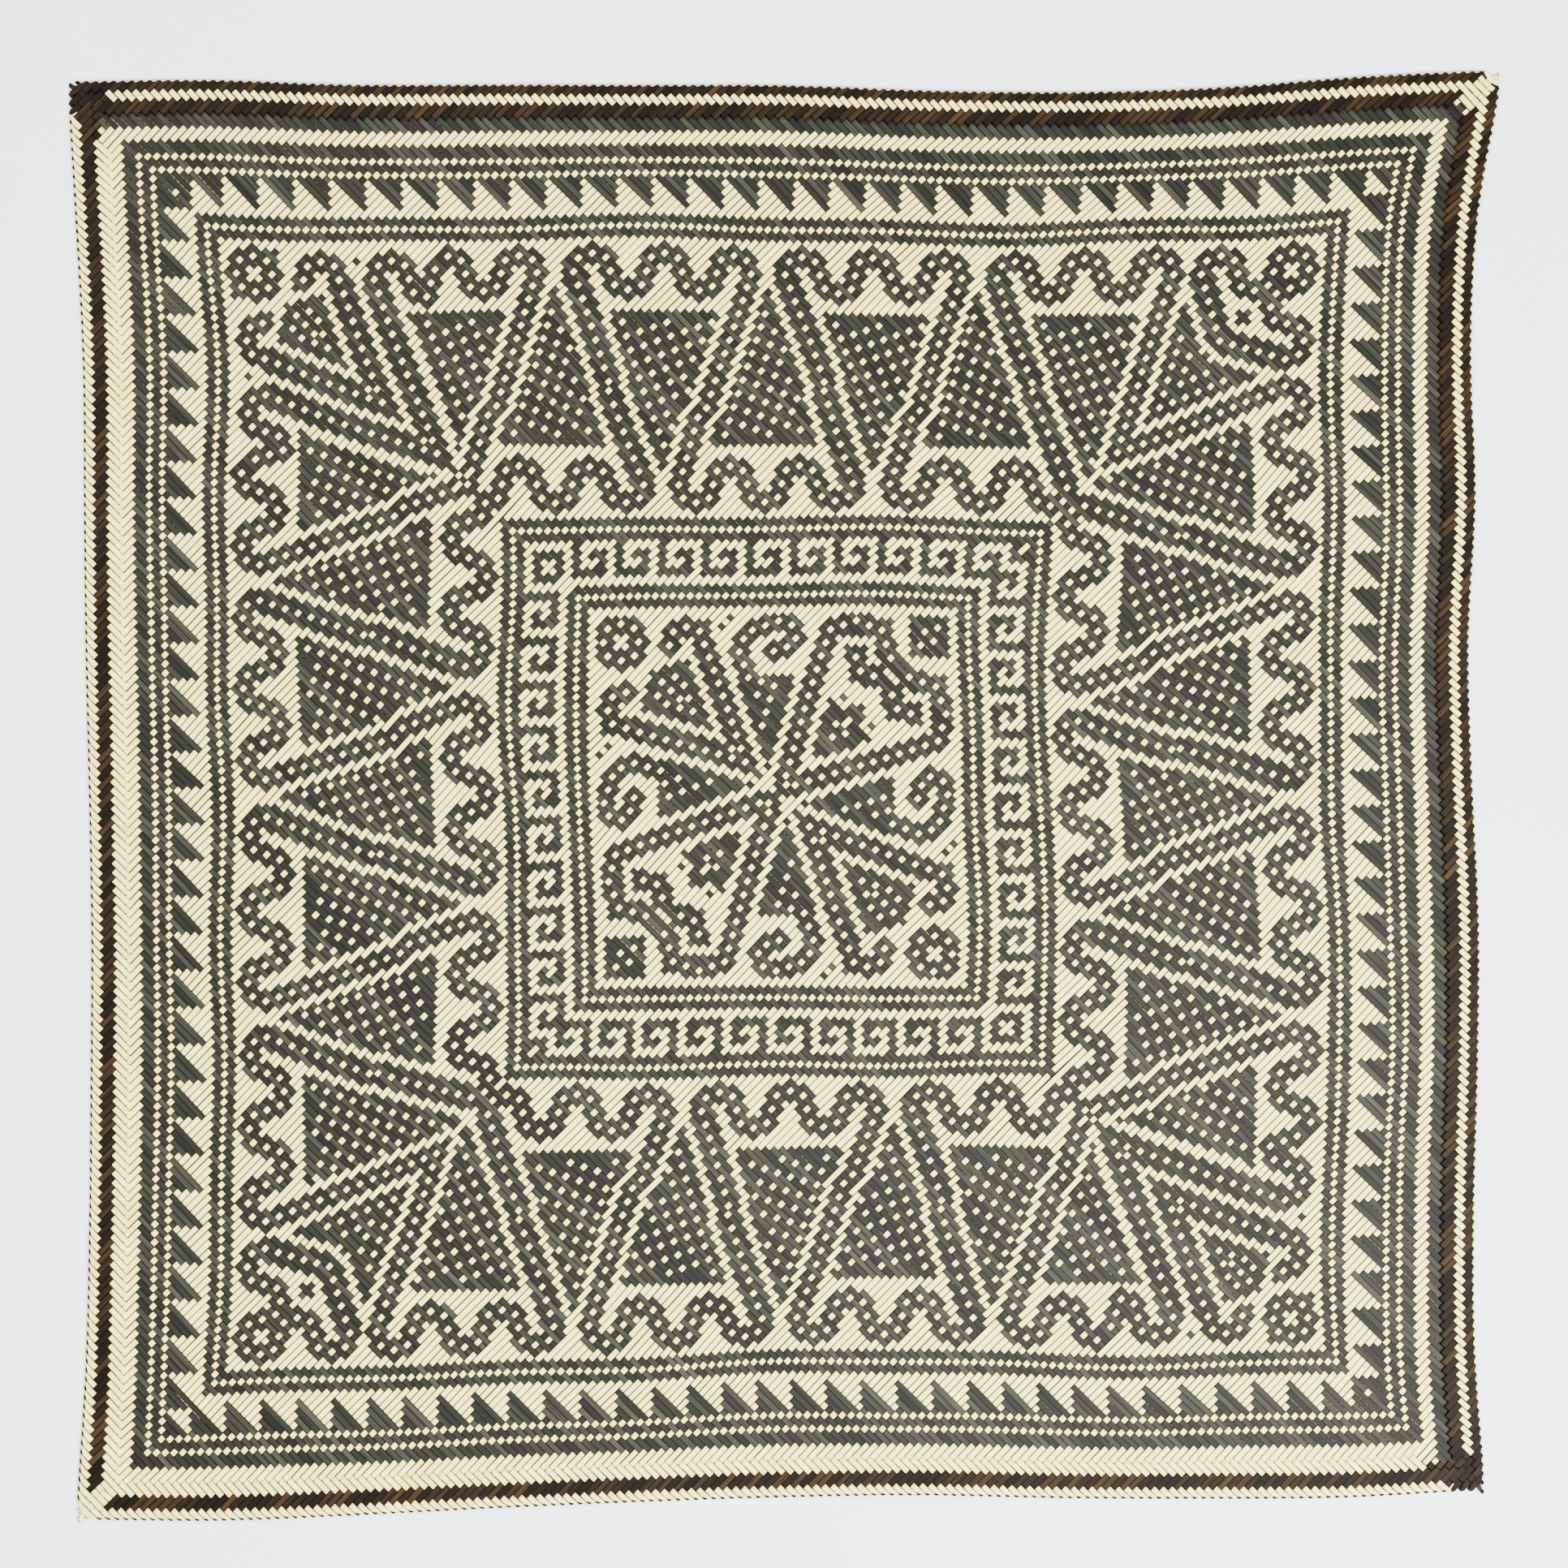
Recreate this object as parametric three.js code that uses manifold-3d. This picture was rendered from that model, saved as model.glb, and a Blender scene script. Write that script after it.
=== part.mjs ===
// A square table mat of split rattan, plaited on the diagonal and lying flat with its face up.
// Every strand is folded over at the edge and plaited back on itself, so the rim is the mat's own
// self-edge: three raised bands of plait round a thinner field, all one piece.
// Millimetres, +Z up, far edge towards +Y.

import * as THREE from "three";
import { mergeVertices } from "three/addons/utils/BufferGeometryUtils.js";
import loadManifold from "manifold-3d";

// Driving dimensions
const HALF_SIDE = 300; // half of the even square that the mat was plaited as
const FIELD_THICKNESS = 1.6; // two strands, one over the other
const RIM_THICKNESS = 2.8; // the field with its strands turned back over it
const CORNER_RADIUS = 4; // the folded tip of each corner
const POINTS_PER_SIDE = 30; // steps along each side of the outline

// How far each edge stands out past the even square, at even stations along it.
// Left and right run from the near end to the far end, near and far from left to right.
const EDGE_STANDS_OUT = {
  left: [5.4, 1.1, -0.6, -1.2, -1.6, -0.6, 0.9, 1.6, 2.0, 5.2, 8.9],
  right: [0.8, -4.0, -4.4, -2.7, -2.3, -5.2, -6.8, -3.6, -5.7, -2.5, 8.9],
  near: [11.3, 12.1, 9.7, 6.6, 4.0, 2.0, 1.1, 2.4, 2.6, 2.1, -1.6],
  far: [6.1, 7.0, 4.9, 5.0, 4.8, 4.7, 2.4, 1.7, 3.6, 8.4, 11.3],
};

// The bands of plait that make the rim, each as its distances in from the mat's edge
const RIM_BANDS = [
  { outer: 0, inner: 5.6 },
  { outer: 5.3, inner: 11.0 },
  { outer: 10.7, inner: 16.4 },
];
const BAND_ROUNDING = { rise: 0.5, width: 0.7, steps: 2 }; // the soft shoulder of each band

// Colours of the dyed and natural strands seen together from a distance
const RATTAN = { color: 0x8f8a72, roughness: 0.55, metalness: 0 };

/** The bowed corner of the outline drawn in by inset, for the two edges that meet there. */
function corner(xEdge, yEdge, inset) {
  const atStart = (table) => table[0];
  const atEnd = (table) => table[table.length - 1];
  const xOut = (yEdge === "near" ? atStart : atEnd)(EDGE_STANDS_OUT[xEdge]);
  const yOut = (xEdge === "left" ? atStart : atEnd)(EDGE_STANDS_OUT[yEdge]);
  const x = HALF_SIDE + xOut - inset;
  const y = HALF_SIDE + yOut - inset;
  return new THREE.Vector2(xEdge === "left" ? -x : x, yEdge === "near" ? -y : y);
}

/** One edge as a smooth curve from corner to corner, drawn in by inset. */
function edgeCurve(edge, start, end, inset) {
  const table = EDGE_STANDS_OUT[edge];
  const points = table.map((out, index) => {
    const point = start.clone().lerp(end, index / (table.length - 1));
    const reach = HALF_SIDE + out - inset;
    if (edge === "left") point.x = -reach;
    if (edge === "right") point.x = reach;
    if (edge === "near") point.y = -reach;
    if (edge === "far") point.y = reach;
    return point;
  });
  return new THREE.SplineCurve(points);
}

/** The mat's outline drawn in by inset: four bowed edges, anticlockwise, with rounded tips. */
function outline(inset) {
  const nearLeft = corner("left", "near", inset);
  const nearRight = corner("right", "near", inset);
  const farRight = corner("right", "far", inset);
  const farLeft = corner("left", "far", inset);
  const walk = [
    edgeCurve("near", nearLeft, nearRight, inset).getSpacedPoints(POINTS_PER_SIDE),
    edgeCurve("right", nearRight, farRight, inset).getSpacedPoints(POINTS_PER_SIDE),
    edgeCurve("far", farLeft, farRight, inset).getSpacedPoints(POINTS_PER_SIDE).reverse(),
    edgeCurve("left", nearLeft, farLeft, inset).getSpacedPoints(POINTS_PER_SIDE).reverse(),
  ];
  const points = [];
  walk.forEach((edge, index) => {
    const tip = edge[POINTS_PER_SIDE];
    const next = walk[(index + 1) % walk.length];
    const before = shortOfTip(tip, edge[POINTS_PER_SIDE - 1]);
    const after = shortOfTip(tip, next[1]);
    points.push(...edge.slice(1, POINTS_PER_SIDE));
    points.push(...new THREE.QuadraticBezierCurve(before, tip, after).getPoints(3));
  });
  return points;
}

/** The place where a corner's rounding begins, on the way from its tip to the next point. */
function shortOfTip(tip, neighbour) {
  return tip.clone().lerp(neighbour, CORNER_RADIUS / tip.distanceTo(neighbour));
}

/** A flat plate of the whole outline, or a ring of it, standing on the floor. */
function plate(outerInset, innerInset, thickness, rounding) {
  const shape = new THREE.Shape(outline(outerInset));
  if (innerInset) {
    shape.holes.push(new THREE.Path(outline(innerInset)));
  }
  const geometry = new THREE.ExtrudeGeometry(shape, {
    depth: thickness - 2 * rounding.rise,
    bevelEnabled: true,
    bevelThickness: rounding.rise,
    bevelSize: rounding.width,
    bevelOffset: -rounding.width,
    bevelSegments: rounding.steps,
  });
  return geometry.translate(0, 0, rounding.rise);
}

const manifold = await loadManifold();
manifold.setup();

/** A three.js geometry as a closed solid that can be joined. */
function toSolid(geometry) {
  geometry.deleteAttribute("normal");
  geometry.deleteAttribute("uv");
  const welded = mergeVertices(geometry, 1e-4);
  const mesh = new manifold.Mesh({
    numProp: 3,
    vertProperties: new Float32Array(welded.attributes.position.array),
    triVerts: new Uint32Array(welded.index.array),
  });
  return new manifold.Manifold(mesh);
}

/** A joined solid back as a three.js geometry, centred over the origin. */
function toGeometry(solid) {
  const mesh = solid.getMesh();
  const geometry = new THREE.BufferGeometry();
  geometry.setAttribute("position", new THREE.BufferAttribute(new Float32Array(mesh.vertProperties), 3));
  geometry.setIndex(new THREE.BufferAttribute(new Uint32Array(mesh.triVerts), 1));
  geometry.computeBoundingBox();
  const middle = geometry.boundingBox.getCenter(new THREE.Vector3());
  geometry.translate(-middle.x, -middle.y, -geometry.boundingBox.min.z);
  geometry.computeVertexNormals();
  return geometry;
}

/** The whole mat: the field and the three bands of its rim as one solid. */
function plaitedMat() {
  let solid = toSolid(plate(RIM_BANDS[0].inner / 2, 0, FIELD_THICKNESS, BAND_ROUNDING));
  for (const band of RIM_BANDS) {
    solid = solid.add(toSolid(plate(band.outer, band.inner, RIM_THICKNESS, BAND_ROUNDING)));
  }
  const geometry = toGeometry(solid);
  const mesh = new THREE.Mesh(geometry, new THREE.MeshStandardMaterial(RATTAN));
  mesh.name = "plaited_mat";
  return mesh;
}

const tableMat = new THREE.Group();
tableMat.add(plaitedMat());

export default tableMat;
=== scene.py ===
import bpy
import numpy as np
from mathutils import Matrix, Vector
from mathutils.bvhtree import BVHTree


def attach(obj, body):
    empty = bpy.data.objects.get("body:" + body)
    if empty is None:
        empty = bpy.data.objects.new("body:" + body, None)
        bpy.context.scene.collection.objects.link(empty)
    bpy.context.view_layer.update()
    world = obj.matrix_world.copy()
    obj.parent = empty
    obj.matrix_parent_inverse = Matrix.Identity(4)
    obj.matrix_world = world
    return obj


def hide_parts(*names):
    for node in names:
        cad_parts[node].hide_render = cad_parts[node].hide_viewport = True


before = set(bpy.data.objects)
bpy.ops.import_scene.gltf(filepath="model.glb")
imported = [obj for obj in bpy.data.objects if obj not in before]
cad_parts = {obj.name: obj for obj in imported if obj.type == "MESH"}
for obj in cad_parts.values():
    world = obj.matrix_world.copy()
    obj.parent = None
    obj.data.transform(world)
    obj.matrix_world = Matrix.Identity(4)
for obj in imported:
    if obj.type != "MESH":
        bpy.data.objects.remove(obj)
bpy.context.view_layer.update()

# Dark strands: splints of rattan cane, split, shaved flat and dyed charcoal on the outer side only.
# They run from upper left to lower right, and are plaited over and under the pale ones. At the mat's edge
# each is folded over and plaited back on the face, where its undyed brown underside shows.

# Setting out. Places on the mat are counted in half-strands across (c) and up (r) from its middle, so
# that a dark strand keeps c + r, a pale strand keeps c - r, and they cross where c + r is even.
# The mat's edge is found by rays from outside it, at half the rim's height, and not right at the corners.
LOW_EDGE, HIGH_EDGE = 157, 159
RIM_MIDDLE = 0.0014
RAY_START = 0.1
CORNER_SHARE = 0.02
mat_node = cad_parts["plaited_mat"]
mat_tree = BVHTree.FromObject(mat_node, bpy.context.evaluated_depsgraph_get())
mat_points = np.array([vertex.co[:2] for vertex in mat_node.data.vertices])
stations = np.linspace(0.0, 1.0, 61)


def mat_tip(across, up):
    """The corner of the mat that lies furthest that way."""
    return mat_points[np.argmax(mat_points @ np.array([across, up]))]


def edge_places(start, end, inward):
    """Where the mat's edge is, at each station from one corner to the next."""
    places = []
    for station in np.clip(stations, CORNER_SHARE, 1.0 - CORNER_SHARE):
        begin = start + (end - start) * station - RAY_START * np.array(inward)
        hit = mat_tree.ray_cast(Vector((begin[0], begin[1], RIM_MIDDLE)), Vector((*inward, 0.0)))[0]
        places.append((hit.x, hit.y))
    return np.array(places)


near_left, near_right = mat_tip(-1, -1), mat_tip(1, -1)
far_left, far_right = mat_tip(-1, 1), mat_tip(1, 1)
left_edge = edge_places(near_left, far_left, (1.0, 0.0))[:, 0]
right_edge = edge_places(near_right, far_right, (-1.0, 0.0))[:, 0]
near_edge = edge_places(near_left, near_right, (0.0, 1.0))[:, 1]
far_edge = edge_places(far_left, far_right, (0.0, -1.0))[:, 1]


STRAY = 0.35
STRAY_FADE = 30


def on_mat(c, r):
    """Metres across and up for places in half-strands, so that the plait follows the mat's uneven edges. Away
    from the edges its rows stray a little, as rows pushed together by hand do."""
    free = STRAY * np.clip((LOW_EDGE - np.maximum(np.abs(c), np.abs(r))) / STRAY_FADE, 0, 1)
    stray_c = np.sin(c / 11 + 0.7) * np.sin(r / 8 + 2.1) + np.sin((c + 1.7 * r) / 23)
    stray_r = np.sin(c / 9 + 1.9) * np.sin(r / 12 + 0.3) + np.sin((r - 1.4 * c) / 26 + 1.0)
    across = (c + free * stray_c + LOW_EDGE) / (LOW_EDGE + HIGH_EDGE)
    up = (r + free * stray_r + LOW_EDGE) / (LOW_EDGE + HIGH_EDGE)
    left = np.interp(up, stations, left_edge)
    right = np.interp(up, stations, right_edge)
    near = np.interp(across, stations, near_edge)
    far = np.interp(across, stations, far_edge)
    return left + (right - left) * across, near + (far - near) * up


# The pattern: which crossings show the pale strand. Only the top quarter is set out, and the other three
# are its mirror images in the two diagonals.
GRID = HIGH_EDGE + 4
grid_side = np.arange(-GRID, GRID + 1)
grid_c, grid_r = np.meshgrid(grid_side, grid_side, indexing="ij")
in_top = grid_r >= np.abs(grid_c)
in_left = grid_c <= -np.abs(grid_r)
in_right = grid_c >= np.abs(grid_r)
c = np.where(in_top, grid_c, np.where(in_left, -grid_r, np.where(in_right, grid_r, -grid_c)))
r = np.maximum(np.abs(grid_c), np.abs(grid_r))
dark_strand = (c + r) // 2
pale_strand = (c - r) // 2
rising_lean = (3 * c + r) / 2
falling_lean = (3 * c - r) / 2
pale_on_top = np.zeros(c.shape, bool)


def show(where, pale):
    """Puts the pale strand on top at these crossings, or the dark one."""
    pale_on_top[where] = pale


def moved(dots, across, up=0):
    """These dots, shifted across and up."""
    return [(dot_c + across, dot_r + up) for dot_c, dot_r in dots]


def from_path(path):
    """How far each crossing lies from a path through these dots."""
    nearest = np.full(c.shape, 999.0)
    for (c0, r0), (c1, r1) in zip(path, path[1:]):
        run_c, run_r = c1 - c0, r1 - r0
        along = np.clip(((c - c0) * run_c + (r - r0) * run_r) / (run_c**2 + run_r**2), 0, 1)
        nearest = np.minimum(nearest, np.hypot(c - c0 - along * run_c, r - r0 - along * run_r))
    return nearest


# Straight borders: bands of dark with single pale rows in them, and a row of saw-tooth triangles
PALE_ROWS = (148, 147, 146, 142, 139, 130, 127, 124, 63, 60, 49, 48, 45, 42, 41)
TEETH_LOW, TEETH_MIDDLE, TEETH_HIGH, TOOTH_PITCH = 131, 134, 137, 8
for row in PALE_ROWS:
    show(r == row, True)
tooth = (c + 11) % TOOTH_PITCH
show((r >= TEETH_LOW) & (tooth + r <= TEETH_HIGH), True)
teeth_corner = np.maximum(np.abs(c + TEETH_MIDDLE), np.abs(r - TEETH_MIDDLE))
show(teeth_corner <= 3, False)
show(teeth_corner == 0, True)

# Key fret: for each row, which crossings of one key are pale, and a boxed square at the left corners
FRET_LOW, FRET_HIGH, FRET_PITCH, FRET_END, FRET_CORNER = 50, 57, 10, -46, 52
FRET = {
    57: (2, 4, 6, 8),
    56: (1, 3, 5, 7),
    55: (2, 8),
    54: (1, 7),
    53: (2, 4, 8),
    52: (1, 3, 7),
    51: (8,),
    50: (7,),
}
for row, keys in FRET.items():
    show((r == row) & np.isin((c + 25) % FRET_PITCH, keys), True)
fret_box = np.maximum(np.abs(c + FRET_CORNER), np.abs(r - FRET_CORNER))
show((r >= FRET_LOW) & (r <= FRET_HIGH) & (c < FRET_END), False)
show((c < FRET_END) & (r <= FRET_HIGH) & (fret_box >= 4) & (fret_box <= 5), True)
show(fret_box <= 1, True)

# The wide band: a dotted dark ribbon that swings between two rows of hooks, with triangles in its bends.
# Its rising and falling stripes have pale outlines, and each triangle is dark with an even scatter of dots.
LOW_WAVE = [
    (-22, 70), (-21, 67), (-18, 66), (-15, 67), (-14, 70), (-13, 73), (-10, 74), (-7, 73), (-6, 70), (-5, 67),
    (-2, 66), (1, 67), (2, 70), (3, 73), (6, 74), (9, 73), (10, 70), (11, 67), (14, 66), (17, 67), (18, 70),
]
HIGH_WAVE = [
    (3, 117), (4, 120), (7, 121), (10, 120), (11, 117), (12, 114), (15, 113), (18, 114), (19, 117),
    (20, 120), (23, 121), (26, 120), (27, 117), (28, 114), (31, 113), (34, 114), (35, 117), (36, 120),
    (39, 121), (42, 120), (43, 117),
]
FIRST_HIGH_WAVE = [
    (-90, 116), (-89, 119), (-86, 120), (-83, 119), (-82, 116), (-81, 113), (-78, 112), (-77, 115),
    (-76, 118), (-73, 121), (-70, 120), (-69, 117), (-68, 114), (-65, 113), (-62, 114), (-61, 117),
    (-60, 120), (-57, 121), (-54, 120), (-53, 117),
]
CORNER_LOOP = [
    (102, 102), (101, 105), (100, 108), (99, 111), (98, 114), (97, 117), (98, 120), (101, 121), (104, 120),
    (105, 117), (106, 114), (109, 113), (112, 112),
]
CORNER_RING = [(113, 113), (112, 114), (113, 117), (114, 120), (117, 121), (120, 120)]
EYE_STAR = [(107, 107), (106, 106), (108, 108), (106, 108)]
PALE_ROUND_STAR = [(105, 107), (104, 106), (105, 105), (108, 110), (109, 109), (110, 110)]
DARK_BY_LOOP = [(99, 99), (104, 104), (111, 111), (112, 112), (113, 113), (115, 115)]
DARK_BY_LEAF = [(-94, 120), (-112, 122), (-108, 114)]
RING_CROSS = [(117, 117), (116, 118), (116, 116), (118, 118)]
STRIPES_END = [(-80, 80), (-78, 80), (-77, 77), (-72, 72), (-70, 72), (-70, 70)]
# Half widths of the dark ribbons, of their pale outlines, and how far from the loop the dots begin
WAVE_HALF, LOOP_HALF, RISING_HALF, FALLING_HALF = 2.45, 2.8, 2.85, 2.2
RISING_OUTLINE, FALLING_OUTLINE, LOOP_OUTLINE, LOOP_CLEAR = 4.75, 4.1, 4.5, 6.6


def paced(start, pace, count):
    """A dot and those that follow it at an even pace."""
    return [(start[0] + pace[0] * i, start[1] + pace[1] * i) for i in range(count + 1)]


def ring(ring_c, ring_r):
    """Eight dots round a middle, back to the first."""
    around = [(0, 4), (3, 3), (4, 0), (3, -3), (0, -4), (-3, -3), (-4, 0), (-3, 3), (0, 4)]
    return [(ring_c + dot_c, ring_r + dot_r) for dot_c, dot_r in around]


def right_of(path):
    """The crossings to the right of a path that runs up or down the band."""
    rows = np.array(sorted((dot_r, dot_c) for dot_c, dot_r in path), float)
    return c > np.interp(r, rows[:, 0], rows[:, 1])


def at_dots(dots):
    """The crossings at these dots."""
    found = np.zeros(c.shape, bool)
    for dot_c, dot_r in dots:
        found |= (c == dot_c) & (r == dot_r)
    return found


def dotted_ribbons(paths, half, where):
    """Dark ribbons along these paths, each with its row of pale dots."""
    for path in paths:
        show(where & (from_path(path) <= half), False)
    for path in paths:
        show(where & at_dots(path), True)


CORNER_HOOK = [(-24, 34), (-23, 37), (-20, 38), (-17, 37), (-16, 34)]
CORNER_STRIPE = paced((-16, 34), (1, -3), 9)
IN_THE_HOOK = [(-21, 35), (-21, 33), (-20, 34), (-19, 35)]
ON_THE_LEAF = [(-26, 26), (-24, 24), (-22, 22), (-19, 19), (-23, 27), (-21, 25), (-20, 22)]
STRIPES_MEET = [(-10, 10), (-8, 10), (-7, 7)]
IN_THE_RING = [(-35, 35), (-36, 36), (-34, 36), (-36, 34), (-34, 34)]


def left_corner(out, where, right_line):
    """A ring, and a leaf with a hooked stripe beside it, this far out along the left diagonal."""
    lean = rising_lean + out
    straight = where & (r <= 34 + out)
    show(where & (lean <= -15) & ((r - c) / 2 - out <= 28 - (c + r) / 4), False)
    show(straight & (lean >= -14) & (lean <= right_line + 2), True)
    show(straight & (lean >= -11) & (lean < right_line), False)
    dotted_ribbons([moved(CORNER_HOOK, -out, out), moved(ring(-35, 35), -out, out)], WAVE_HALF, where)
    for dots in (CORNER_STRIPE, IN_THE_HOOK, ON_THE_LEAF, STRIPES_MEET, IN_THE_RING):
        show(where & at_dots(moved(dots, -out, out)), True)


REPEAT = 48
BAND_LOW, BAND_HIGH = 64, 123
rising = paced((18, 70), (-1, 3), 7) + paced((11, 93), (-1, 3), 8)
falling = paced((43, 117), (-1, -3), 10) + paced((31, 85), (-1, -3), 5)
last_falling = paced((91, 117), (-1, -3), 13)
first_rising = paced((-90, 116), (1, -3), 12)
waves = [FIRST_HIGH_WAVE]
waves += [moved(wave, step * REPEAT) for wave in (LOW_WAVE, HIGH_WAVE) for step in (-1, 0, 1)]
rising_stripes = [first_rising] + [moved(rising, step * REPEAT) for step in (-1, 0, 1)]
falling_stripes = [moved(falling, step * REPEAT) for step in (-2, -1, 0)] + [last_falling]
wide_band = (r >= BAND_LOW) & (r <= BAND_HIGH)
show(wide_band, True)
for index, (left_stripe, right_stripe) in enumerate(zip(falling_stripes, rising_stripes[1:])):
    upright = wide_band & (r >= 79) & (r <= 113) & right_of(left_stripe) & ~right_of(right_stripe)
    scatter = (2 * dark_strand - pale_strand) % 5 == (2 + 4 * index) % 5
    clear = (r >= 81) & (from_path(right_stripe) > 5.7)
    show(upright & ~(scatter & clear), False)
for index, (left_stripe, right_stripe) in enumerate(zip(rising_stripes, falling_stripes)):
    hanging = wide_band & (r <= 108) & (r >= 73) & right_of(left_stripe) & ~right_of(right_stripe)
    scatter = (dark_strand - 2 * pale_strand) % 5 == (index if index else 3)
    clear = (r <= 106) & (from_path(right_stripe) > 5.0)
    show(hanging & ~(scatter & clear), False)
kite = wide_band & right_of(last_falling) & (c < 108) & (falling_lean < 108)
kite = kite & (from_path(CORNER_LOOP) > LOOP_OUTLINE) & (r < 116) & (c + r < 206)
kite_dots = ((falling_lean - 88) % 5 == 0) & (falling_lean >= 88) & (from_path(CORNER_LOOP) > LOOP_CLEAR)
show(kite & ~kite_dots, False)
for path in falling_stripes[:-1]:
    show(wide_band & (from_path(path[1:-1]) < FALLING_OUTLINE), True)
from_last_falling = np.abs(falling_lean - 78)
show(wide_band & (r <= 115) & (from_last_falling <= 6), True)
show(wide_band & (r <= 115) & (from_last_falling <= 3), False)
for path in rising_stripes[1:]:
    show(wide_band & (from_path(path[1:-1]) < RISING_OUTLINE), True)
left_corner(82, wide_band, -2)
from_first_rising = np.abs(rising_lean + 77)
show(wide_band & (r <= 116) & (from_first_rising <= 7), True)
show(wide_band & (r <= 116) & (from_first_rising <= 4), False)
show(wide_band & at_dots(first_rising), True)
dotted_ribbons(rising_stripes[1:], RISING_HALF, wide_band)
dotted_ribbons(falling_stripes, FALLING_HALF, wide_band)
dotted_ribbons(waves + [CORNER_LOOP, CORNER_RING], WAVE_HALF, wide_band)
dotted_ribbons([CORNER_LOOP[:6]], LOOP_HALF, wide_band)
show(wide_band & at_dots(EYE_STAR + DARK_BY_LOOP + DARK_BY_LEAF), False)
show(wide_band & at_dots(PALE_ROUND_STAR + RING_CROSS + STRIPES_END), True)

# The middle panel: a leaf and a ring at the left corners, a looped ribbon and a square at the right ones, and
# between them a dotted triangle under a curl
RIGHT_RIBBON = paced((2, 4), (1, 3), 11)
RIGHT_RIBBON += [(16, 38), (19, 39), (22, 38), (25, 37), (26, 34), (27, 31), (29, 29)]
UPPER_CURL = [
    (-6, 26), (-7, 29), (-8, 32), (-7, 35), (-5, 37), (-2, 38), (1, 39), (4, 38), (5, 35), (3, 33), (0, 32),
]
LOOP_CURL = [(19, 31), (20, 28), (23, 27), (25, 25)]
WEDGE_DOTS = [(-6, 26), (-3, 25), (0, 24), (-4, 22), (-1, 21), (-2, 18), (-3, 15)]
LEAF_HALF_WIDTHS = {9: 0, 10: 1, 11: 1, 12: 2, 13: 2, 14: 3, 15: 3, 16: 3, 17: 3, 18: 1, 19: 1, 20: 0}
CURL_HALF = 2.3
panel = r <= 40
show(panel, True)
dotted_ribbons([UPPER_CURL], CURL_HALF, panel)
show(panel & (rising_lean >= 0) & (falling_lean <= -6) & (r <= 26), False)
show(panel & at_dots(WEDGE_DOTS), True)
left_corner(0, panel, -3)
for strand, half_width in LEAF_HALF_WIDTHS.items():
    show(panel & (dark_strand == strand) & (np.abs(pale_strand) <= half_width), False)
show(panel & at_dots([(13, 13), (14, 16), (16, 16), (17, 17)]), True)
dotted_ribbons([LOOP_CURL], WAVE_HALF, panel)
show(panel & (r <= 37) & (falling_lean >= -5) & (falling_lean <= -3), True)
show(panel & (r <= 4) & (np.abs(pale_strand) <= 1), False)
dotted_ribbons([RIGHT_RIBBON], FALLING_HALF, panel)
show(panel & (c >= 32), False)
show(panel & at_dots([(-1, 1), (2, 2), (26, 28), (27, 27), (38, 38), (35, 37), (34, 34)]), True)
show(panel & at_dots([(25, 25), (29, 29), (-15, 39), (-12, 38), (-10, 40)]), False)
show(panel & at_dots([(13, 21), (16, 22), (18, 26), (27, 39)]), False)
show(panel & at_dots([(18, 36), (20, 36), (17, 33), (21, 33), (24, 32), (24, 34), (25, 29), (21, 25)]), False)
show(panel & at_dots([(24, 24), (23, 35), (24, 30)]), True)

# Under the turned-back rim the strand that lies lower is the one whose fold shows less
RIM_LOW = 149
show((r >= RIM_LOW) & ~(in_top | in_right), True)

# The strands themselves. A strand lies at one of four heights: under, over, and two more where it is turned
# back at the rim. Heights, thickness, crown and lift are in millimetres.
HEIGHTS = (0.36, 1.06, 1.74, 2.40)
THICKNESS = 0.70
CROWN = 0.07
LIFT = 0.015
# Along a strand, lengths are counted in crossings, and its width as a share of the room it has
STRAND_WIDTH = {"dark": (0.97, 1.0), "pale": (0.85, 0.94)}
SIDEWAYS = 0.03
DIVE = 0.13
CLEAR_OF_FOLD = 2.7
BEFORE_FOLD = 1.25
SHORTEST_RETURN = 1.3
SHORTEST_STRETCH = 0.2
UNLIMITED = 99.0
# The fold: how far inside the edge it is and the room it takes to round, in half-strands, its length and that
# of its tip as shares of the width, and how much further out the fold goes that shows less
FOLD_AT = 0.25
FOLD_ROUND = 0.22
FOLD_LENGTH = 0.62
FOLD_TIP = 0.4
FOLD_OUT = {"shown": 0.0, "hidden": 1.15}
rng = np.random.default_rng(41)

# How each family comes back from a fold: for each stretch, how many crossings it ends after and its height
BACK_FROM = {
    ("dark", "far_right"): ((2.5, 3), (4.5, 2), (7.5, 3), (8.4, 1)),
    ("pale", "far_right"): ((1.5, 2), (3.5, 3), (6.2, 2)),
    ("dark", "near_left"): ((1.5, 2), (4.5, 3), (5.6, 2)),
    ("pale", "near_left"): ((2.5, 3), (5.5, 2), (8.5, 3), (9.4, 1)),
}


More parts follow.
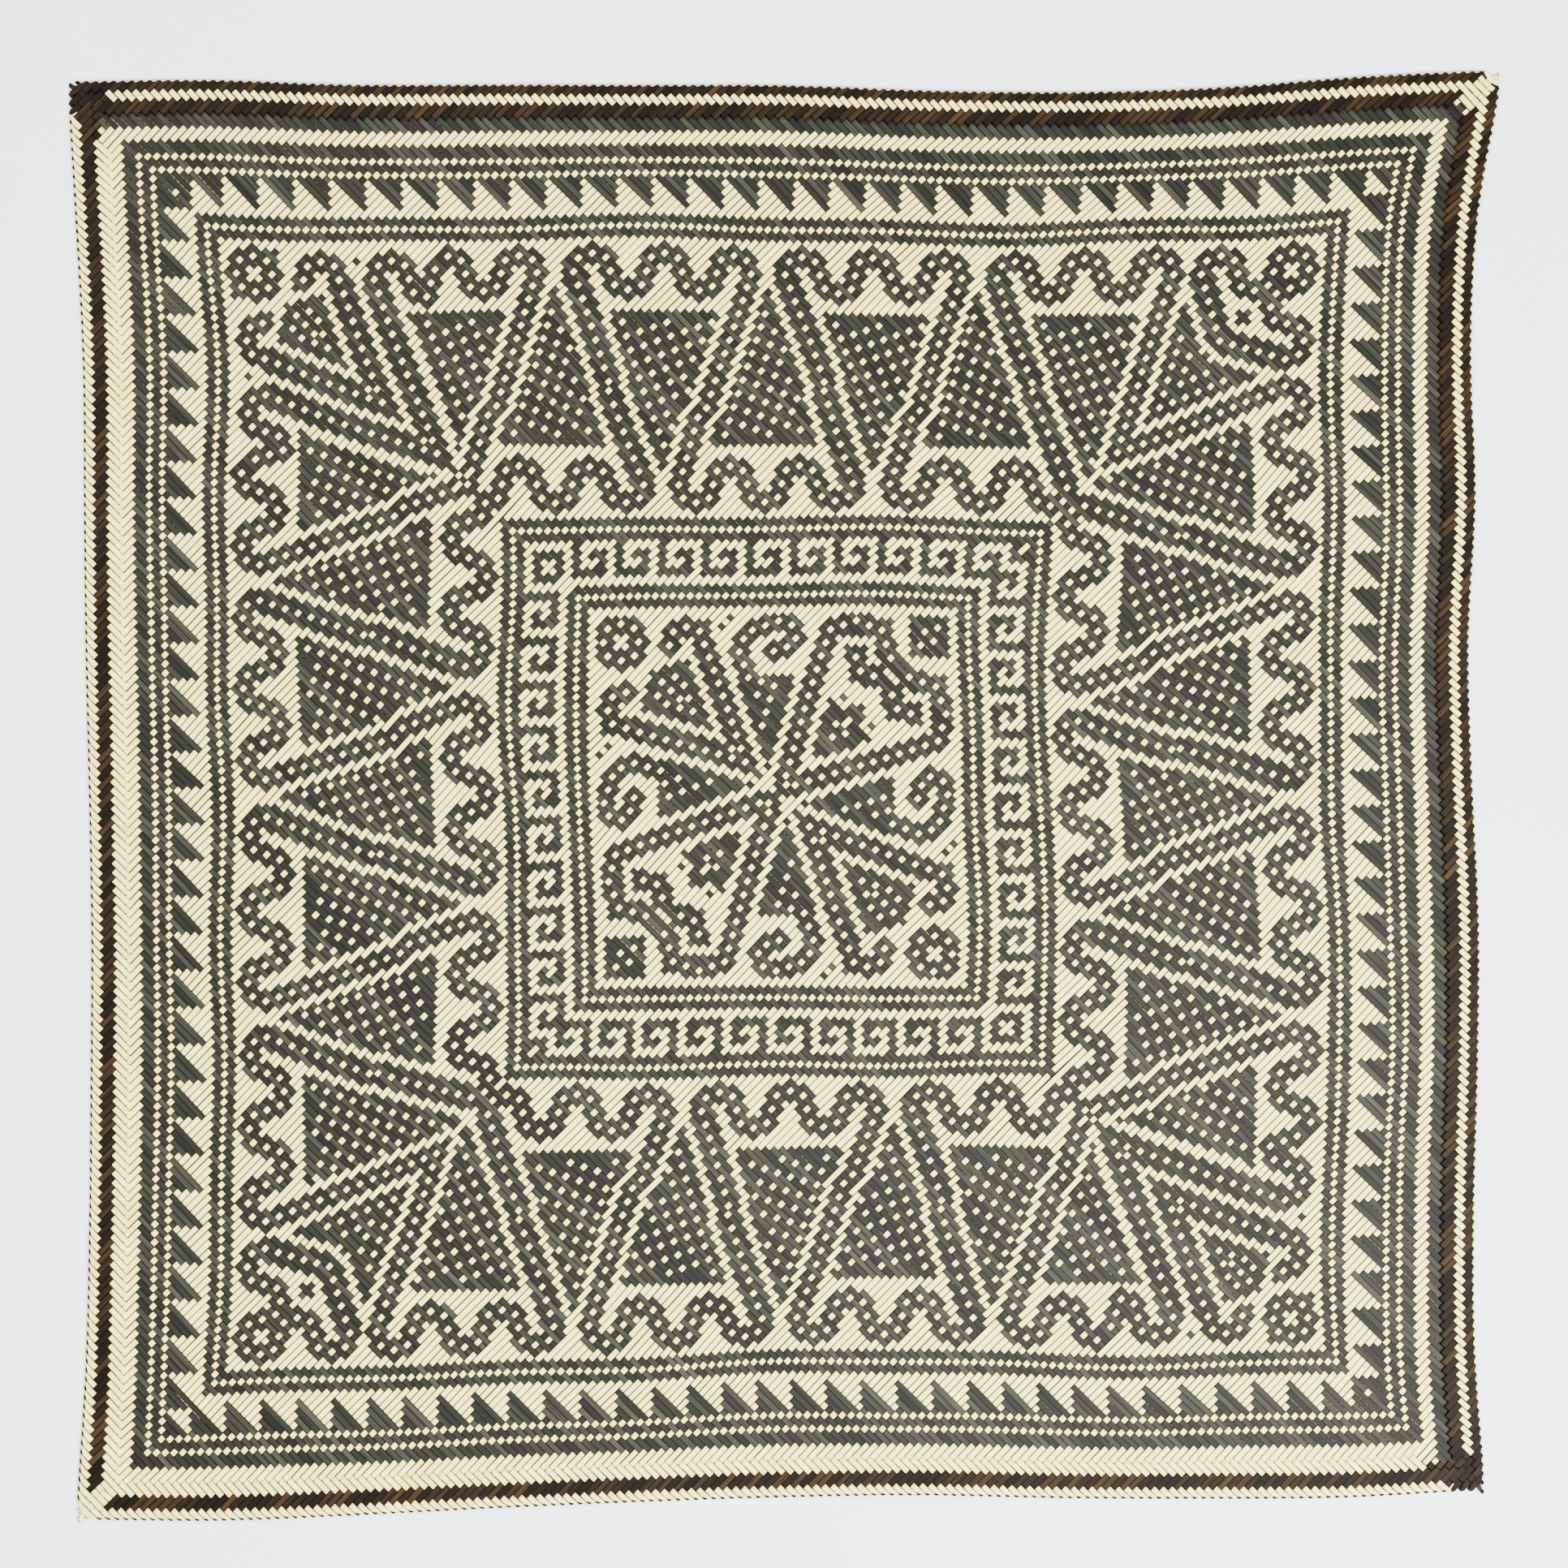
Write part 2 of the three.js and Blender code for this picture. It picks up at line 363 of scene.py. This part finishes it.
def turned_back(place, heading, left, family):
    """The sections of a strand from just before its fold to the tucked-in end, walking towards that end."""
    flat = np.argmax(np.where(place > 0, place - HIGH_EDGE, -place - LOW_EDGE))
    outward = np.zeros(2)
    outward[flat] = np.sign(place[flat])
    side = "far_right" if outward.sum() > 0 else "near_left"
    shown = (family == "dark") == (side == "far_right")
    style = "shown" if shown else "hidden"
    if not shown:
        place = place - heading
    low = 1 if shown else 0
    stretches = BACK_FROM[family, side]
    back = heading - 2 * (heading @ outward) * outward
    back_left = left - 2 * (left @ outward) * outward
    fold_left = left.copy()
    fold_left[flat] = 0.0
    fold_left = fold_left * 2 * FOLD_LENGTH
    fold = place + outward * (FOLD_OUT[style] - FOLD_AT)
    high = stretches[0][1]
    middle = (HEIGHTS[low] + HEIGHTS[high]) / 2
    level = np.zeros(2)
    sections = [
        (place - heading * BEFORE_FOLD, left, HEIGHTS[low], 1.0, level),
        (fold - outward * FOLD_ROUND, fold_left, HEIGHTS[low], 1.0, level),
        (fold, fold_left * FOLD_TIP, middle, 0.0, outward),
        (fold - outward * FOLD_ROUND, fold_left, HEIGHTS[high], -1.0, level),
    ]
    along = place[1 - flat]
    limit = UNLIMITED
    if along * back[1 - flat] > 0:
        limit = ((HIGH_EDGE if along > 0 else LOW_EDGE) - abs(along)) / 2
    if limit < SHORTEST_RETURN:
        return sections
    begin = BEFORE_FOLD
    for index, (end, height) in enumerate(stretches):
        last = index == len(stretches) - 1
        for step in (begin, end - DIVE if not last else end):
            if step <= limit:
                sections.append((place + back * step, back_left, HEIGHTS[height], -1.0, level))
        if end + DIVE > limit:
            if limit > begin + SHORTEST_STRETCH:
                sections.append((place + back * limit, back_left, HEIGHTS[height], -1.0, level))
            break
        begin = end + DIVE
    return sections


def strand_sections(family, number):
    """Every section of one strand from end to end: place, half width to its left, height, which way is up."""
    if family == "dark":
        heading = np.array([1.0, -1.0])
        begin = max(-LOW_EDGE - number, number - HIGH_EDGE)
        end = min(HIGH_EDGE - number, number + LOW_EDGE)
        middle = np.array([number, number], float)
    else:
        heading = np.array([1.0, 1.0])
        begin = abs(number) - LOW_EDGE
        end = HIGH_EDGE - abs(number)
        middle = np.array([number, -number], float)
    step = np.arange(begin, end + 1)
    cells = middle + np.outer(step, heading)
    cell_c, cell_r = cells.astype(int).T + GRID
    over = pale_on_top[cell_c, cell_r] == (family == "pale")
    left = np.array([-heading[1], heading[0]]) * rng.uniform(*STRAND_WIDTH[family]) / 2
    middle = middle + left * rng.uniform(-SIDEWAYS, SIDEWAYS)
    first = turned_back(cells[0], -heading, left, family)
    last = turned_back(cells[-1], heading, left, family)
    sections = list(reversed(first))
    turns = np.nonzero(over[1:] != over[:-1])[0]
    for turn in turns:
        boundary = step[turn] + 0.5
        if boundary < begin + CLEAR_OF_FOLD or boundary > end - CLEAR_OF_FOLD:
            continue
        for side, above in ((-DIVE, over[turn]), (DIVE, over[turn + 1])):
            place = middle + heading * (boundary + side)
            sections.append((place, left, HEIGHTS[int(above)], 1.0, np.zeros(2)))
    sections.extend(last)
    return sections


def linear(code):
    """A colour written as sRGB hex, as the linear values that shaders use."""
    parts = [int(code[i : i + 2], 16) / 255 for i in (1, 3, 5)]
    return [p / 12.92 if p <= 0.04045 else ((p + 0.055) / 1.055) ** 2.4 for p in parts] + [1.0]


def add(tree, kind, settings=None, links=None):
    """One shader node: its settings and input values by name, then where its inputs come from."""
    node = tree.nodes.new(kind)
    for name, value in (settings or {}).items():
        if hasattr(node, name):
            setattr(node, name, value)
        else:
            node.inputs[name].default_value = value
    for name, source in (links or {}).items():
        tree.links.new(source, node.inputs[name])
    return node


# Fibre bundles are about 50 mm long and 0.4 mm wide, coarser than the real ones so that they show, and the
# weathered patches are about 33 by 4 mm
FIBRES_PER_MM = (1 / 50, 1 / 0.42, 1.0)
PATCHES_PER_MM = (1 / 33, 1 / 4, 1.0)
PATCH_SHARE = 0.3
TONE_SHARE = 0.2
# Painted shade at a strand's edges, for the shadow in the gaps between strands: where it starts to fade, and
# how strong it is
EDGE_SHADE_START, EDGE_SHADE_STRENGTH = 0.02, 0.9


def splint(name, colours, edge_shade_colour, edge_shade_width, roughness, shine, streak_depth):
    """A rattan splint: fibres along its length make fine streaks in colour, gloss and relief, and every
    strand
    has a tone of its own, so that the mat never shows one flat colour. Its edges and sides are painted
    darker:
    a painted shade that stands in for the shadow in the gaps between strands."""
    material = bpy.data.materials.new(name)
    material.use_nodes = True
    tree = material.node_tree
    tree.nodes.clear()
    grain = add(tree, "ShaderNodeUVMap", {"uv_map": "Grain"})
    tone = add(tree, "ShaderNodeAttribute", {"attribute_name": "tone"})
    fibre_space = add(tree, "ShaderNodeMapping", {"Scale": FIBRES_PER_MM}, {"Vector": grain.outputs[0]})
    fibres = add(tree, "ShaderNodeTexNoise", {"Scale": 1.0, "Detail": 3.0, "Roughness": 0.6},
                 {"Vector": fibre_space.outputs[0]})
    patch_space = add(tree, "ShaderNodeMapping", {"Scale": PATCHES_PER_MM}, {"Vector": grain.outputs[0]})
    patches = add(tree, "ShaderNodeTexNoise", {"Scale": 1.0, "Detail": 2.0, "Roughness": 0.5},
                  {"Vector": patch_space.outputs[0]})
    blend = add(tree, "ShaderNodeMix", {"data_type": "FLOAT"})
    blend.inputs[0].default_value = PATCH_SHARE
    tree.links.new(fibres.outputs[0], blend.inputs[2])
    tree.links.new(patches.outputs[0], blend.inputs[3])
    shade = add(tree, "ShaderNodeMix", {"data_type": "FLOAT"})
    shade.inputs[0].default_value = TONE_SHARE
    tree.links.new(blend.outputs[0], shade.inputs[2])
    tree.links.new(tone.outputs["Fac"], shade.inputs[3])
    ramp = add(tree, "ShaderNodeValToRGB", None, {"Fac": shade.outputs[0]})
    stops = ramp.color_ramp.elements
    while len(stops) < len(colours):
        stops.new(0.5)
    for stop, (place, code) in zip(stops, colours):
        stop.position = place
        stop.color = linear(code)
    rough = add(tree, "ShaderNodeMapRange", {"To Min": roughness[0], "To Max": roughness[1]},
                {"Value": blend.outputs[0]})
    relief = add(tree, "ShaderNodeBump", {"Strength": 0.5, "Distance": streak_depth},
                 {"Height": fibres.outputs[0]})
    across = add(tree, "ShaderNodeUVMap", {"uv_map": "Across"})
    across_only = add(tree, "ShaderNodeSeparateXYZ", None, {"Vector": across.outputs[0]})
    from_edge = add(tree, "ShaderNodeMath", {"operation": "PINGPONG"})
    from_edge.inputs[1].default_value = 0.5
    tree.links.new(across_only.outputs["Y"], from_edge.inputs[0])
    # Painted shade: darkest at the strand's edges and on its sides, fading inward, for the shadow between
    # strands
    painted_edge_shade = add(tree, "ShaderNodeMapRange",
                  {"From Min": EDGE_SHADE_START, "From Max": edge_shade_width, "To Min": EDGE_SHADE_STRENGTH, "To Max": 0.0},
                  {"Value": from_edge.outputs[0]})
    colour = add(tree, "ShaderNodeMix", {"data_type": "RGBA"})
    colour.inputs[7].default_value = linear(edge_shade_colour)
    tree.links.new(painted_edge_shade.outputs[0], colour.inputs[0])
    tree.links.new(ramp.outputs[0], colour.inputs[6])
    shader = add(tree, "ShaderNodeBsdfPrincipled", {"IOR": 1.5, "Specular IOR Level": shine},
                 {"Base Color": colour.outputs[2], "Roughness": rough.outputs[0],
                  "Normal": relief.outputs[0]})
    add(tree, "ShaderNodeOutputMaterial", None, {"Surface": shader.outputs[0]})
    return material


# Dye leaves the outer side a soft greyish black, streaked along the fibres and with little shine
dyed = splint(
    name="rattan splint, dyed charcoal",
    colours=((0.3, "#070806"), (0.5, "#1b1c16"), (0.72, "#3c3d33")),
    # Painted shade on the edges and sides: near black, for the dark gaps between strands
    edge_shade_colour="#020202",
    edge_shade_width=0.22,
    roughness=(0.5, 0.7),
    shine=0.1,
    streak_depth=0.00006,
)

# The inner side took no dye: it is dark brown, with deeper streaks, and duller than the outer side
underside = splint(
    name="rattan splint, undyed brown inner side",
    colours=((0.3, "#040201"), (0.5, "#140c06"), (0.72, "#3a2a18")),
    # Painted shade on the edges and sides: near black, for the dark gaps between strands
    edge_shade_colour="#020100",
    edge_shade_width=0.22,
    roughness=(0.5, 0.7),
    shine=0.06,
    streak_depth=0.00008,
)


# A strand's section has five corners: left, middle and right of its upper face, then right and left below.
# Each has a side, and whether it is above. Round it the places are in millimetres, and each of its five
# faces has the places of its two edges across the strand, where 0 and 1 are the strand's edges.
MM = 0.001
SECTION = ((1, 1), (0, 1), (-1, 1), (-1, -1), (1, -1))
CORNERS = len(SECTION)
CROWN_CORNER = 1
UPPER_FACES = 2
ROUND = np.array([0.0, 1.3, 2.6, 3.3, 5.9, 6.6])
# Side faces have 0 across, so they take the painted edge shade in full
ACROSS = np.array([(0.0, 0.5), (0.5, 1.0), (0.0, 0.0), (0.0, 1.0), (0.0, 0.0)])
CAP_SPREAD = np.array([0.0, 0.0, 0.0, 0.8, 0.8])
# In the maps, in millimetres: how far apart strands may take their fibres from, and the gaps in a row of the
# bake at its ends and between two strands. The margin is a share of the row's height.
GRAIN_SPREAD = 3000
ROW_END, STRAND_GAP = 2.0, 6.0
ROW_MARGIN = 0.04


def strand_bands(totals):
    """For the bake: the row of each strand and where it starts in it, a long strand with a short one."""
    order = np.argsort(-np.array(totals))
    rows = (len(order) + 1) // 2
    row_of = np.zeros(len(order))
    start_of = np.full(len(order), ROW_END)
    for row in range(rows):
        longer, shorter = order[row], order[-1 - row]
        row_of[[longer, shorter]] = row
        if longer != shorter:
            start_of[shorter] = totals[longer] + STRAND_GAP
    return row_of, start_of, rows, np.max(start_of + totals) + ROW_END


def make_strands(name, family, numbers, materials):
    """Lays these strands as one object, each a closed flat splint with a slightly rounded upper face."""
    points, quads, caps, tones, lengths = [], [], [], [], []
    base = 0
    for number in numbers:
        place, left, height, up, outward = [np.array(part) for part in zip(*strand_sections(family, number))]
        count = len(place)
        lift = rng.uniform(-LIFT, LIFT)
        section = np.zeros((count, CORNERS, 3))
        for corner, (side, above) in enumerate(SECTION):
            x, y = on_mat(*(place + side * left).T)
            thick = above * THICKNESS / 2 + (CROWN if corner == CROWN_CORNER else 0.0)
            section[:, corner, 0] = x + outward[:, 0] * thick * MM
            section[:, corner, 1] = y + outward[:, 1] * thick * MM
            section[:, corner, 2] = (height + lift + up * thick) * MM
        index = base + np.arange(count * CORNERS).reshape(count, CORNERS)
        after = np.roll(index, -1, axis=1)
        base += count * CORNERS
        points.append(section.reshape(-1, 3))
        quads.append(np.stack([index[:-1], after[:-1], after[1:], index[1:]], axis=-1).reshape(-1, 4))
        caps.append(np.stack([index[0][::-1], index[-1]]))
        tones.append(np.full(count * CORNERS, rng.uniform(0, 1)))
        paces_along = np.linalg.norm(np.diff(section[:, CROWN_CORNER], axis=0), axis=1) / MM
        lengths.append(np.concatenate([[0.0], np.cumsum(paces_along)]))
    quads_of = [len(part) for part in quads]
    points, quads, caps, tones = [np.concatenate(part) for part in (points, quads, caps, tones)]
    mesh = bpy.data.meshes.new(name)
    mesh.vertices.add(len(points))
    mesh.vertices.foreach_set("co", points.ravel())
    mesh.loops.add(quads.size + caps.size)
    mesh.loops.foreach_set("vertex_index", np.concatenate([quads.ravel(), caps.ravel()]))
    mesh.polygons.add(len(quads) + len(caps))
    starts = np.concatenate([np.arange(len(quads)) * 4, quads.size + np.arange(len(caps)) * CORNERS])
    mesh.polygons.foreach_set("loop_start", starts)
    mesh.update(calc_edges=True)
    for material in materials:
        mesh.materials.append(material)
    face = quads[:, 0] % CORNERS
    slots = np.full(len(quads) + len(caps), len(materials) - 1)
    slots[: len(quads)][face < UPPER_FACES] = 0
    mesh.polygons.foreach_set("material_index", slots)
    mesh.polygons.foreach_set("use_smooth", np.ones(len(slots), bool))
    ends = np.zeros(len(mesh.edges) * 2, int)
    mesh.edges.foreach_get("vertices", ends)
    on_crown = (ends.reshape(-1, 2) % CORNERS == CROWN_CORNER).all(axis=1)
    sharp = mesh.attributes.new("sharp_edge", "BOOLEAN", "EDGE")
    sharp.data.foreach_set("value", ~on_crown)
    tone = mesh.attributes.new("tone", "FLOAT", "POINT")
    tone.data.foreach_set("value", tones)

    # Three maps: Grain in millimetres for the fibres, Across from edge to edge, and one for the export
    row_of, start_of, rows, row_length = strand_bands([length[-1] for length in lengths])
    strand_of = np.repeat(np.arange(len(lengths)), quads_of)
    along = np.concatenate([
        np.repeat(np.stack([length[:-1], length[:-1], length[1:], length[1:]], axis=-1), CORNERS, axis=0)
        for length in lengths
    ])
    round_it = np.stack([ROUND[face], ROUND[face + 1], ROUND[face + 1], ROUND[face]], axis=-1)
    across = ACROSS[face][:, [0, 1, 1, 0]]
    shift = rng.uniform(0, GRAIN_SPREAD, (len(lengths), 2))
    end_places = np.concatenate([[0.0, length[-1]] for length in lengths])
    spread = np.array([-CAP_SPREAD[::-1], CAP_SPREAD])
    cap_along = end_places[:, None] + np.tile(spread, (len(lengths), 1))
    cap_round = np.tile(np.array([ROUND[:CORNERS][::-1], ROUND[:CORNERS]]), (len(lengths), 1))
    cap_strand = np.repeat(np.arange(len(lengths)), 2)

    def along_row(strand, places):
        return (places + start_of[strand][:, None]) / row_length

    def up_row(strand, places):
        share = ROW_MARGIN + (1 - 2 * ROW_MARGIN) * places / ROUND[-1]
        return (row_of[strand][:, None] + share) / rows

    def uv_map(map_name, u, v, cap_u, cap_v):
        layer = mesh.uv_layers.new(name=map_name)
        on_sides = np.stack([u, v], -1).ravel()
        on_caps = np.stack([cap_u, cap_v], -1).ravel()
        layer.data.foreach_set("uv", np.concatenate([on_sides, on_caps]))

    of_quad, of_cap = shift[strand_of], shift[cap_strand]
    uv_map("Grain", along + of_quad[:, :1], round_it + of_quad[:, 1:], cap_along + of_cap[:, :1],
           cap_round + of_cap[:, 1:])
    # Across places the painted edge shade: sides and caps get 0, where it is full
    uv_map("Across", along * 0, across, cap_along * 0, cap_round * 0)
    uv_map("OFBake", along_row(strand_of, along), up_row(strand_of, round_it),
           along_row(cap_strand, cap_along), up_row(cap_strand, cap_round))
    mesh.validate()
    piece = bpy.data.objects.new(name, mesh)
    bpy.context.scene.collection.objects.link(piece)
    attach(piece, "root")
    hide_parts("plaited_mat")


# Each family is three pieces, split this many strands either side of the middle one, without the very short
# strands at the corners
SPLIT_AT = 30
dark_sides = [dyed, underside]
make_strands("dark_strands_upper_right", "dark", range(SPLIT_AT, HIGH_EDGE - 1), dark_sides)
make_strands("dark_strands_middle", "dark", range(1 - SPLIT_AT, SPLIT_AT), dark_sides)
make_strands("dark_strands_lower_left", "dark", range(3 - LOW_EDGE, 1 - SPLIT_AT), dark_sides)

# Pale strands: splints of the same cane left in their natural colour on both sides.
# They run from lower left to upper right, at right angles to the dark ones, and are folded back like them.

# Bare shaved cane: cream with a cast of straw, fine streaks along the fibres and a low satin gloss
natural = splint(
    name="rattan splint, natural, shaved",
    colours=((0.2, "#cfbb50"), (0.42, "#ebdf7c"), (0.8, "#f6eea0")),
    # Painted shade on the edges and sides: dark olive, for the shadow lines between strands
    edge_shade_colour="#3a3010",
    edge_shade_width=0.14,
    roughness=(0.42, 0.6),
    shine=0.25,
    streak_depth=0.00006,
)
make_strands("pale_strands_upper_left", "pale", range(3 - LOW_EDGE, 1 - SPLIT_AT), [natural])
make_strands("pale_strands_middle", "pale", range(1 - SPLIT_AT, SPLIT_AT), [natural])
make_strands("pale_strands_lower_right", "pale", range(SPLIT_AT, LOW_EDGE - 2), [natural])

# Floor: a plain pale studio table under the mat, wide enough to fill the picture. It is one flat sheet of
# card, a tenth of a millimetre below the mat so that the two never share a plane.
FLOOR_HALF = 3.0
FLOOR_GAP = 0.0001
floor_corners = [(x * FLOOR_HALF, y * FLOOR_HALF, 0.0) for x, y in ((-1, -1), (1, -1), (1, 1), (-1, 1))]
floor_mesh = bpy.data.meshes.new("floor")
floor_mesh.from_pydata(floor_corners, [], [(0, 1, 2, 3)])
floor = bpy.data.objects.new("floor", floor_mesh)
floor.location.z = -FLOOR_GAP
bpy.context.scene.collection.objects.link(floor)

# Matt card, pressed from pale fibres: a faint mottle and tooth, and no shine
MOTTLES_PER_METRE = 9.0
TOOTH_PER_METRE = 900.0
card = bpy.data.materials.new("matt pale card")
card.use_nodes = True
card.node_tree.nodes.clear()
card_place = add(card.node_tree, "ShaderNodeTexCoord")
mottle = add(card.node_tree, "ShaderNodeTexNoise",
             {"Scale": MOTTLES_PER_METRE, "Detail": 4.0, "Roughness": 0.6},
             {"Vector": card_place.outputs["Object"]})
card_tones = add(card.node_tree, "ShaderNodeValToRGB", None, {"Fac": mottle.outputs[0]})
card_tones.color_ramp.elements[0].color = linear("#e0e4ea")
card_tones.color_ramp.elements[1].color = linear("#e9edf2")
tooth_noise = add(card.node_tree, "ShaderNodeTexNoise", {"Scale": TOOTH_PER_METRE, "Detail": 2.0},
                  {"Vector": card_place.outputs["Object"]})
card_tooth = add(card.node_tree, "ShaderNodeBump", {"Strength": 0.2, "Distance": 0.0001},
                 {"Height": tooth_noise.outputs[0]})
card_shader = add(card.node_tree, "ShaderNodeBsdfPrincipled", {"Roughness": 0.9},
                  {"Base Color": card_tones.outputs[0], "Normal": card_tooth.outputs[0]})
add(card.node_tree, "ShaderNodeOutputMaterial", None, {"Surface": card_shader.outputs[0]})
floor_mesh.materials.append(card)

# Light: a broad soft lamp to the lower right, whose sheen lies over that side of the mat, and a larger and
# weaker one from the other side, in a pale and evenly lit room.


def lamp(name, place, size, power):
    """A soft square lamp that faces the middle of the mat."""
    data = bpy.data.lights.new(name, "AREA")
    data.size = size
    data.energy = power
    light = bpy.data.objects.new(name, data)
    light.location = place
    light.rotation_euler = (-Vector(place)).to_track_quat("-Z", "Y").to_euler()
    bpy.context.scene.collection.objects.link(light)


lamp("window", place=(0.52, -0.52, 1.4), size=0.8, power=115.0)
lamp("fill", place=(-0.9, 0.9, 1.7), size=1.4, power=75.0)
world = bpy.data.worlds.new("studio")
world.use_nodes = True
world.node_tree.nodes["Background"].inputs["Color"].default_value = linear("#f1f3f0")
world.node_tree.nodes["Background"].inputs["Strength"].default_value = 0.4
bpy.context.scene.world = world

# Camera: straight down on the mat from 1.2 m above it, far edge at the top of the picture, with a lens that
# lets the mat nearly fill the picture.
camera_data = bpy.data.cameras.new("camera")
camera_data.sensor_width = 36.0
camera_data.lens = 64.07
camera = bpy.data.objects.new("camera", camera_data)
camera.location = (-0.0007, 0.0049, 1.2)
bpy.context.scene.collection.objects.link(camera)
bpy.context.scene.camera = camera
